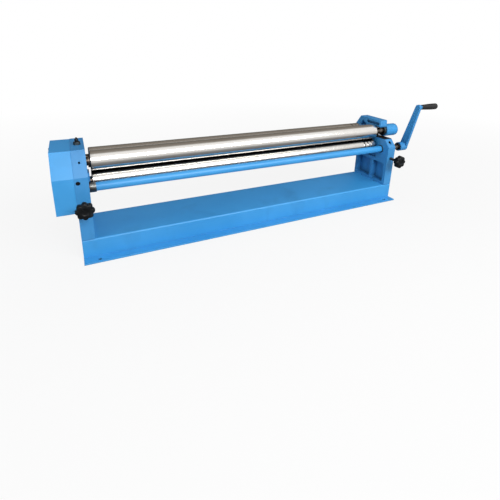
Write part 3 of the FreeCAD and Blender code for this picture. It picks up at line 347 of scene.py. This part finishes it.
def makeMetal(name):
    # machined metal: oily patches darken it, edges are rubbed bright
    facts = metals[name]
    finish = Finish(name)
    rounded, edge = finish.edges(facts["edgeRadius"])
    patches = finish.ramp(finish.noise(*facts["patchNoise"]), *machined["patches"])
    fine = finish.noise(*machined["fineNoise"])
    rubbed = edge * finish.ramp(finish.noise(*machined["rubNoise"]), *machined["rubbed"])
    colour = finish.mixColour(patches, facts["colour"], facts["dark"])
    colour = finish.mixColour(rubbed, colour, facts["worn"])
    share = machined["roughening"]
    roughness = (facts["roughness"] + share["patches"] * patches + share["fine"] * fine
                 - machined["polishing"] * rubbed)
    normal = finish.bump(fine, machined["fineStrength"], machined["fineDepth"], rounded)
    finish.set(Base_Color=colour, Roughness=roughness, Normal=normal, Metallic=1.0)
    return finish.material


plastics = {
    "mouldedPlastic": {"colour": (0.0045, 0.0052, 0.0062, 1), "scuffed": (0.026, 0.028, 0.031, 1),
                       "roughness": 0.30, "specular": 0.20, "grainNoise": (900.0, 2.0)},
    "gripPlastic": {"colour": (0.006, 0.006, 0.007, 1), "scuffed": (0.040, 0.038, 0.037, 1),
                    "roughness": 0.22, "specular": 0.38, "grainNoise": (500.0, 2.0)},
}
moulded = {
    "edgeRadius": 0.0012, "grainStrength": 0.2, "grainDepth": 0.00008,
    "scuffNoise": (80.0, 7.0, (1, 1, 0.4)), "scuffs": ((0.55, 0.0), (0.75, 0.7)),
    "rubNoise": (60.0, 4.0), "edgeShare": 0.5, "contrast": 1.2,
    "roughening": {"grain": 0.12, "scuffs": 0.14},
}


def makePlastic(name):
    # moulded plastic with a fine grain, paler scuffs and rubbed high spots
    facts = plastics[name]
    finish = Finish(name)
    edge = finish.edges(moulded["edgeRadius"])[1]
    grain = finish.noise(*facts["grainNoise"])
    scuffs = finish.ramp(finish.noise(*moulded["scuffNoise"]), *moulded["scuffs"])
    highSpots = moulded["edgeShare"] * edge * finish.noise(*moulded["rubNoise"])
    rubbed = (scuffs + highSpots).power(moulded["contrast"])
    colour = finish.mixColour(rubbed, facts["colour"], facts["scuffed"])
    share = moulded["roughening"]
    roughness = facts["roughness"] + share["grain"] * grain + share["scuffs"] * scuffs
    normal = finish.bump(grain, moulded["grainStrength"], moulded["grainDepth"])
    finish.set(Base_Color=colour, Roughness=roughness, Normal=normal, Specular_IOR_Level=facts["specular"])
    return finish.material


finishes = {
    "sheetEnamel": makeEnamel("sheetEnamel", sheetPaint), "castEnamel": makeEnamel("castEnamel", castPaint),
    "slottedEnamel": makeEnamel("slottedEnamel", castPaint, bareSlot),
    "groundSteel": makeGroundSteel(), "paintedShaft": makeShaftFinish(),
}
finishes.update({name: makeMetal(name) for name in metals})
finishes.update({name: makePlastic(name) for name in plastics})
print("finishes made:", len(finishes))

nodeFinish = {
    "sheetEnamel": ("base_channel", "gear_cover", "release_sleeve"),
    "castEnamel": ("left_frame", "swivel_block", "rear_block_left", "rear_block_right", "crank_arm",
                   "grip_spindle", "lower_block_left", "lower_block_right", "wedge_left", "wedge_right"),
    "slottedEnamel": ("right_frame",),
    "groundSteel": ("top_roll", "lower_roll", "rear_roll"),
    "paintedShaft": ("drive_shaft",),
    "brightSteel": ("drive_collar",),
    "stampedSteel": ("sleeve_ring", "pivot_nut", "drive_nut", "drive_washer", "frame_bolts"),
    "darkBronze": ("swivel_bush", "idler_bush", "lower_bush_left", "lower_bush_right", "rear_bush_left",
                   "rear_bush_right", "drive_bush_left", "drive_bush_right"),
    "blackSteel": ("guide_screws", "sleeve_screw", "top_gear_clip", "lower_gear_clip", "idler_clip",
                   "crank_spacer", "crank_set_screw", "grip_snap_ring", "cover_screws", "pivot_screw",
                   "pinch_screw_left", "pinch_screw_right", "rear_screw_left", "rear_screw_right"),
    "mouldedPlastic": ("pinch_knob_left", "pinch_knob_right", "rear_knob_left", "rear_knob_right"),
    "gripPlastic": ("crank_grip",),
}
otherFinish = "gearSteel"  # gears, keys and whatever isn't listed above


def dressNodes():
    chosen = {node: finish for finish, group in nodeFinish.items() for node in group}
    for name, piece in nodes.items():
        piece.data.materials.clear()
        piece.data.materials.append(finishes[chosen.get(name, otherFinish)])


dressNodes()
print("nodes dressed")


# new pieces: grids of points, worked out as whole arrays

def addObject(name, data):
    made = bpy.data.objects.new(name, data)
    bpy.context.scene.collection.objects.link(made)
    return made


def gridPiece(name, points, finish):
    # points has the shape (rows, around, 3); each end closes on the middle of its own row
    rows, around = points.shape[:2]
    verts = np.vstack([points.reshape(-1, 3), points[0].mean(axis=0), points[-1].mean(axis=0)])
    row, step = np.meshgrid(np.arange(rows - 1), np.arange(around), indexing="ij")
    following = (step + 1) % around
    sides = np.stack([row * around + step, row * around + following,
                      (row + 1) * around + following, (row + 1) * around + step], axis=-1).reshape(-1, 4)
    ring = np.arange(around)
    ahead = (ring + 1) % around
    lowPole = rows * around
    last = (rows - 1) * around
    lowCap = np.stack([np.full(around, lowPole), ahead, ring], axis=-1)
    highCap = np.stack([np.full(around, lowPole + 1), last + ring, last + ahead], axis=-1)
    mesh = bpy.data.meshes.new(name)
    mesh.from_pydata(verts.tolist(), [], sides.tolist() + lowCap.tolist() + highCap.tolist())
    mesh.materials.append(finishes[finish])
    mesh.polygons.foreach_set("use_smooth", [True] * len(mesh.polygons))
    return addObject(name, mesh)


def axisFrame(direction):
    # three square directions, right-handed, the last one along the axis; the helper is never near it
    along = np.array(direction, float)
    along /= np.linalg.norm(along)
    helper = np.array([1.0, 0.0, 0.0]) if abs(along[0]) < 0.9 else np.array([0.0, 0.0, 1.0])
    side = np.cross(helper, along)
    side /= np.linalg.norm(side)
    return side, np.cross(along, side), along


def wholeTurn(steps):
    # angles once round, as one row
    return np.linspace(0, 2 * math.pi, steps, endpoint=False)[None, :]


def aroundAxis(start, direction, along, radius, steps):
    # point = start + axis * along + radius * (side * cos(turn) + up * sin(turn)), one row for each length
    side, up, axis = axisFrame(direction)
    along, radius, turn = np.broadcast_arrays(along, radius, wholeTurn(steps))
    flat = side * np.cos(turn)[..., None] + up * np.sin(turn)[..., None]
    return np.array(start, float) + axis * along[..., None] + radius[..., None] * flat


def standIn(piece, node, body):
    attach(piece, body)
    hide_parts(node)


def centre(node):
    low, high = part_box(node)
    return (np.array(low) + np.array(high)) / 2


def reach(node, start, direction):
    # how far the node reaches each way from a point along a direction
    axis = axisFrame(direction)[2]
    points = np.array([vertex.co[:] for vertex in nodes[node].data.vertices]) - np.array(start, float)
    lengths = points @ axis
    return lengths.min(), lengths.max()


knob = {"lobes": 8, "valley": 0.0052, "softness": 0.10, "steps": 192}
knobProfile = [
    # length from the hub's face, radius, share of the valleys
    (0.0000, 0.0080, 0), (0.0000, 0.0142, 0), (0.0006, 0.0150, 0), (0.0088, 0.0150, 0),
    (0.0098, 0.0158, 0), (0.0101, 0.0190, 0.2), (0.0103, 0.0245, 0.8), (0.0112, 0.0268, 1),
    (0.0130, 0.0284, 1), (0.0155, 0.0290, 1), (0.0210, 0.0290, 1), (0.0262, 0.0286, 1), (0.0292, 0.0270, 1),
    (0.0308, 0.0246, 0.8), (0.0315, 0.0215, 0.4), (0.0318, 0.0165, 0.1), (0.0320, 0.0130, 0),
    (0.0318, 0.0115, 0), (0.0310, 0.0106, 0), (0.0304, 0.0096, 0), (0.0304, 0.0030, 0),
]


def makeKnob(node, start, direction):
    # radius = profile - valley * (1 - soft |cos(lobes * turn / 2)|), the valleys fading out on hub and face
    profile = np.array(knobProfile)
    soft = knob["softness"]
    halfLobe = np.cos(knob["lobes"] * wholeTurn(knob["steps"]) / 2)
    wave = np.sqrt(halfLobe ** 2 + soft ** 2) / math.sqrt(1 + soft ** 2)
    radius = profile[:, 1:2] - knob["valley"] * profile[:, 2:3] * (1 - wave)
    points = aroundAxis(start, direction, profile[:, 0:1], radius, knob["steps"])
    standIn(gridPiece("star_" + node, points, "mouldedPlastic"), node, node + "_body")


thread = {
    "radius": 0.0060, "depth": 0.00100, "pitch": 0.00175, "rowsPerPitch": 6, "steps": 40, "sharpness": 1.35,
    "chamfer": 0.0012, "plainTip": 0.020,
}


def makeStud(node, body, start, direction):
    # radius = crest - depth * (0.5 - 0.5 * clipped cosine of (length / pitch - turn)), plain at the tip
    low, high = reach(node, start, direction)
    rows = int((high - low) / thread["pitch"] * thread["rowsPerPitch"])
    along = np.linspace(low, high, rows)[:, None]
    phase = 2 * math.pi * along / thread["pitch"] - wholeTurn(thread["steps"])
    groove = 0.5 - 0.5 * np.clip(thread["sharpness"] * np.cos(phase), -1, 1)
    threadedTo = high - thread["plainTip"]
    cut = np.clip((threadedTo - along) / thread["pitch"], 0, 1) * thread["depth"]
    ends = np.minimum(along - low, high - along)
    taper = np.clip(thread["chamfer"] - ends, 0, None)
    radius = np.minimum(thread["radius"] - cut * groove, thread["radius"] - taper)
    points = aroundAxis(start, direction, along, radius, thread["steps"])
    standIn(gridPiece("threaded_" + node, points, "blackSteel"), node, body)


inward = (0, 1, 0)
outward = (0, -1, 0)
liftAxis = np.array(joints["rear_lift"]["axis"])
for side in ("left", "right"):
    front = "pinch_knob_" + side
    screw = "pinch_screw_" + side
    middle = centre(front)
    makeKnob(front, (middle[0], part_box(front)[1][1], middle[2]), outward)
    makeStud(screw, front + "_body", centre(screw), inward)
    rear = "rear_knob_" + side
    screw = "rear_screw_" + side
    pivot = np.array(joints[rear + "_turn"]["pos_m"])
    nearest = reach(rear, pivot, liftAxis)[1]
    makeKnob(rear, pivot + liftAxis * nearest, -liftAxis)
    makeStud(screw, rear + "_body", pivot, liftAxis)
print("knobs and studs made")


grip = {
    "neckRadius": 0.0112, "bellyRadius": 0.0140, "bellyAt": 0.72, "swell": 1.4, "domeFrom": 0.90,
    "mouth": 0.0012, "mouthLength": 0.004, "rows": 34, "domeRows": 12, "steps": 96,
}


def makeGrip():
    # radius = neck + (belly - neck) * sin(quarter turn * length / belly's place) ^ swell, then a quarter
    # round over the outer end; the mouth is the small bevel at the spindle
    low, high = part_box("crank_grip")
    length = high[0] - low[0]
    share = np.concatenate([[0.0], np.linspace(grip["mouthLength"], grip["domeFrom"], grip["rows"])])
    swell = np.sin(np.clip(share / grip["bellyAt"], 0, 1) * math.pi / 2) ** grip["swell"]
    radius = grip["neckRadius"] + (grip["bellyRadius"] - grip["neckRadius"]) * swell
    radius[0] -= grip["mouth"]
    dome = np.linspace(0, math.pi / 2, grip["domeRows"])[1:-1]
    share = np.concatenate([share, grip["domeFrom"] + (1 - grip["domeFrom"]) * np.sin(dome)])
    radius = np.concatenate([radius, radius[-1] * np.cos(dome)])
    middle = centre("crank_grip")
    start = (low[0], middle[1], middle[2])
    points = aroundAxis(start, (1, 0, 0), share[:, None] * length, radius[:, None], grip["steps"])
    standIn(gridPiece("turned_grip", points, "gripPlastic"), "crank_grip", "grip")


makeGrip()
print("grip made")


# stage, lights and camera

ground = {
    "size": 14.0, "drop": 0.0002, "footprint": (0.680, 0.1415), "roughness": 0.8,
    "grainNoise": (40.0, 3.0), "greys": ((0.58, 0.58, 0.58, 1), (0.62, 0.62, 0.62, 1)),
    # dark is the colour of the painted shadow under the foot flanges
    "flangesFrom": 0.100, "under": 0.0001, "dark": (0.03, 0.03, 0.03, 1),
    "white": ((0.0, 0.86), (1.0, 1.0)), "whiteReach": 2.6,
    "mirrored": ((0.0, 0.10), (0.04, 0.16), (0.20, 0.36), (0.55, 0.62), (1.0, 0.95)), "mirroredReach": 4.0,
    "dimBehind": 0.75,
}


def makeFloor():
    # pale floor: the camera sees it almost white with a soft shadow, and polished metal sees it brighten
    # away from the base
    finish = Finish("paleFloor")
    x, y = finish.axes()[:2]
    halfLength, halfWidth = ground["footprint"]
    alongX = (abs(x) - halfLength).atLeast(0.0)
    alongY = (abs(y) - halfWidth).atLeast(0.0)
    away = (alongX * alongX + alongY * alongY).power(0.5)
    pale = finish.mixColour(finish.noise(*ground["grainNoise"]), *ground["greys"])
    # painted shadow: under the two foot flanges the floor colour is dark, so the open foot holes stay dark
    shadowUnderFlanges = (away < ground["under"]) * (abs(y) > ground["flangesFrom"])
    finish.set(Base_Color=finish.mixColour(shadowUnderFlanges, pale, ground["dark"]), Roughness=ground["roughness"])
    share = finish.ramp(away * (1 / ground["whiteReach"]), *ground["white"]) * (away > 0.0)
    whitened = finish.rayIs("Camera") * share
    white = finish.node("ShaderNodeEmission", None, {"Color": (1, 1, 1, 1), "Strength": 1.0})
    surface = Value(finish, finish.shader.outputs[0])
    seen = finish.node("ShaderNodeMixShader", None, {0: whitened, 1: surface, 2: white})
    fade = finish.ramp(away * (1 / ground["mirroredReach"]), *ground["mirrored"])
    # behind the machine polished metal sees a dim floor
    fade = fade * (1.0 - ground["dimBehind"] * (y > halfWidth))
    mirrored = finish.node("ShaderNodeEmission", None, {"Color": fade, "Strength": 1.0})
    both = finish.node("ShaderNodeMixShader", None, {0: finish.rayIs("Glossy"), 1: seen, 2: mirrored})
    finish.feed(finish.tree.nodes["Material Output"].inputs["Surface"], both)
    size = ground["size"]
    corners = [(-size, -size, 0), (size, -size, 0), (size, size, 0), (-size, size, 0)]
    mesh = bpy.data.meshes.new("floor")
    mesh.from_pydata(corners, [], [(0, 1, 2, 3)])
    mesh.materials.append(finish.material)
    floor = addObject("floor", mesh)
    floor.location.z = -ground["drop"]


studio = {
    "ambient": 0.34,
    # what polished metal sees round the machine's length: share of a half turn from the front, over the top
    "mirrored": ((0.0, (0.62, 0.62, 0.62, 1)), (0.05, (0.80, 0.80, 0.80, 1)), (0.09, (1, 1, 1, 1)),
                 (0.47, (1, 1, 1, 1)), (0.55, (0.30, 0.27, 0.235, 1)), (0.82, (0.20, 0.18, 0.155, 1)),
                 (0.92, (0.085, 0.080, 0.070, 1)), (1.0, (0.11, 0.11, 0.105, 1))),
}


def makeStudio():
    # polished metal mirrors the studio, the camera sees white, and all else gets the ambient light
    world = bpy.data.worlds.new("studio")
    bpy.context.scene.world = world
    world.use_nodes = True
    shade = Shade(world.node_tree, "Generated")
    y, z = shade.axes()[1:]
    overhead = shade.node("ShaderNodeMath", {"operation": "ARCTAN2"}, {0: z.atLeast(0.0), 1: 0.0 - y})
    mirrored = shade.ramp(overhead * (1 / math.pi), *studio["mirrored"])
    glossy = shade.rayIs("Glossy")
    direct = shade.rayIs("Camera").atLeast(glossy).atLeast(shade.rayIs("Transmission"))
    background = world.node_tree.nodes["Background"]
    shade.feed(background.inputs["Color"], shade.mixColour(glossy, (1, 1, 1, 1), mirrored))
    shade.feed(background.inputs["Strength"], studio["ambient"] + (1 - studio["ambient"]) * direct)


lamps = {
    "key": {"place": (0.45, -2.2, 1.75), "aim": (0.05, 0.0, 0.22), "size": (2.6, 1.0), "power": 74.0,
            "mirrored": True},
    "back": {"place": (-0.8, 2.4, 1.6), "aim": (0.0, 0.0, 0.25), "size": (2.0, 1.2), "power": 10.0,
             "mirrored": False},
    "side": {"place": (-2.4, -0.5, 0.9), "aim": (0.5, 0.0, 0.20), "size": (1.4, 1.0), "power": 14.0,
             "mirrored": False},
}


def makeLamps():
    for name, facts in lamps.items():
        data = bpy.data.lights.new(name, "AREA")
        data.shape = "RECTANGLE"
        data.size, data.size_y = facts["size"]
        data.energy = facts["power"]
        lamp = addObject(name, data)
        lamp.location = facts["place"]
        lamp.visible_glossy = facts["mirrored"]
        aim = np.array(facts["aim"]) - np.array(facts["place"])
        pitch = math.atan2(math.hypot(aim[0], aim[1]), -aim[2])
        lamp.rotation_euler = (pitch, 0, math.atan2(-aim[0], aim[1]))


camera = {
    "sensor": 36.0, "lens": 26.6186, "shift": (-0.00265, -0.18173),
    "place": (-0.654876, -1.303141, 0.717903), "turn": (71.9288, -1.4899, -25.5995),
}


def makeCamera():
    data = bpy.data.cameras.new("camera")
    data.sensor_width = camera["sensor"]
    data.lens = camera["lens"]
    data.shift_x, data.shift_y = camera["shift"]
    seen = addObject("camera", data)
    seen.location = camera["place"]
    seen.rotation_euler = [math.radians(angle) for angle in camera["turn"]]
    bpy.context.scene.camera = seen


makeFloor()
makeStudio()
makeLamps()
makeCamera()
bpy.context.scene.view_settings.view_transform = "Standard"
print("stage, lamps and camera made")
